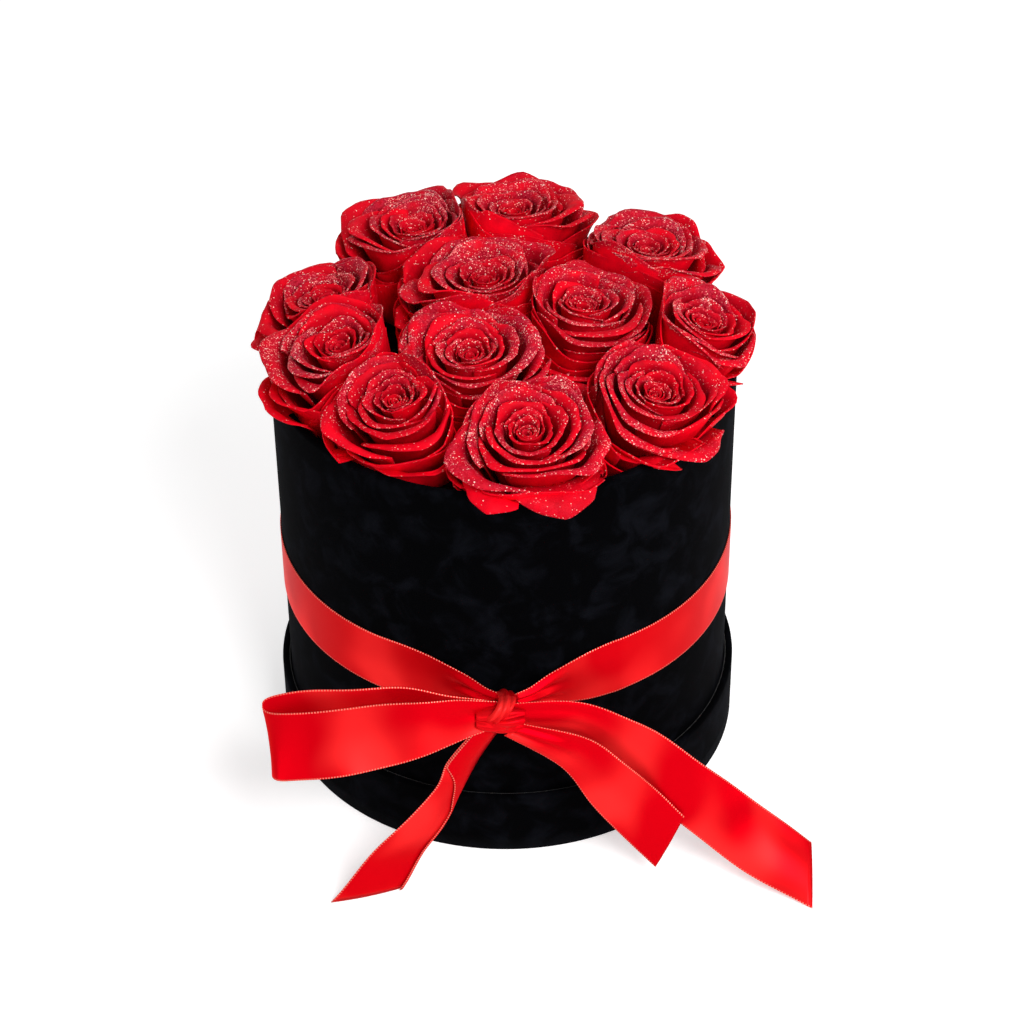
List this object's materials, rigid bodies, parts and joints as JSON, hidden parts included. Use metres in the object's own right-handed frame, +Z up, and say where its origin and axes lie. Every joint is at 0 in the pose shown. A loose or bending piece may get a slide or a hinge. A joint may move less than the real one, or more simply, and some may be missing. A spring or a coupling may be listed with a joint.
{
  "type": "flower box",
  "caption": "Round velvet hat box of open glittered roses, standing in its upturned lid and tied with a wide satin ribbon and a bow.",
  "frame": {"origin": "middle of the lid's outer face, on the surface that the box stands on", "axes": "+Z up along the box's axis, -Y towards the bow"},
  "size_m": [0.2175, 0.228, 0.202],
  "materials": {
    "velvet": "matte",
    "greyboard": "matte",
    "lining_paper": "matte",
    "floral_foam": "matte",
    "rose_petals": "matte",
    "rose_calyx": "matte",
    "pick_wood": "matte",
    "satin_ribbon": "satin"
  },
  "bodies": {
    "lid": {"lid_board": "greyboard", "lid_lining_disc": "lining_paper", "lid_lining_strip": "lining_paper", "lid_rim": "greyboard", "lid_velvet_face": "velvet", "lid_velvet_side": "velvet"},
    "box": {"bow_loop": "satin_ribbon", "box_base": "greyboard", "box_lining_floor": "lining_paper", "box_lining_wall": "lining_paper", "box_velvet_base": "velvet", "box_velvet_wrap": "velvet", "box_wall": "greyboard", "foam_block": "floral_foam", "ribbon_band": "satin_ribbon", "ribbon_knot": "satin_ribbon", "rose_01_bloom": "rose_petals", "rose_01_calyx": "rose_calyx", "rose_01_pick": "pick_wood", "rose_02_bloom": "rose_petals", "rose_02_calyx": "rose_calyx", "rose_02_pick": "pick_wood", "rose_03_bloom": "rose_petals", "rose_03_calyx": "rose_calyx", "rose_03_pick": "pick_wood", "rose_04_bloom": "rose_petals", "rose_04_calyx": "rose_calyx", "rose_04_pick": "pick_wood", "rose_05_bloom": "rose_petals", "rose_05_calyx": "rose_calyx", "rose_05_pick": "pick_wood", "rose_06_bloom": "rose_petals", "rose_06_calyx": "rose_calyx", "rose_06_pick": "pick_wood", "rose_07_bloom": "rose_petals", "rose_07_calyx": "rose_calyx", "rose_07_pick": "pick_wood", "rose_08_bloom": "rose_petals", "rose_08_calyx": "rose_calyx", "rose_08_pick": "pick_wood", "rose_09_bloom": "rose_petals", "rose_09_calyx": "rose_calyx", "rose_09_pick": "pick_wood", "rose_10_bloom": "rose_petals", "rose_10_calyx": "rose_calyx", "rose_10_pick": "pick_wood", "rose_11_bloom": "rose_petals", "rose_11_calyx": "rose_calyx", "rose_11_pick": "pick_wood", "rose_12_bloom": "rose_petals", "rose_12_calyx": "rose_calyx", "rose_12_pick": "pick_wood", "tail_left": "satin_ribbon", "tail_right_long": "satin_ribbon", "tail_right_short": "satin_ribbon"}
  },
  "joints": [
    {"name": "box_lift", "type": "slide", "parent": "lid", "child": "box", "axis": [0, 0, 1], "range_m": [0, 0.045]}
  ]
}
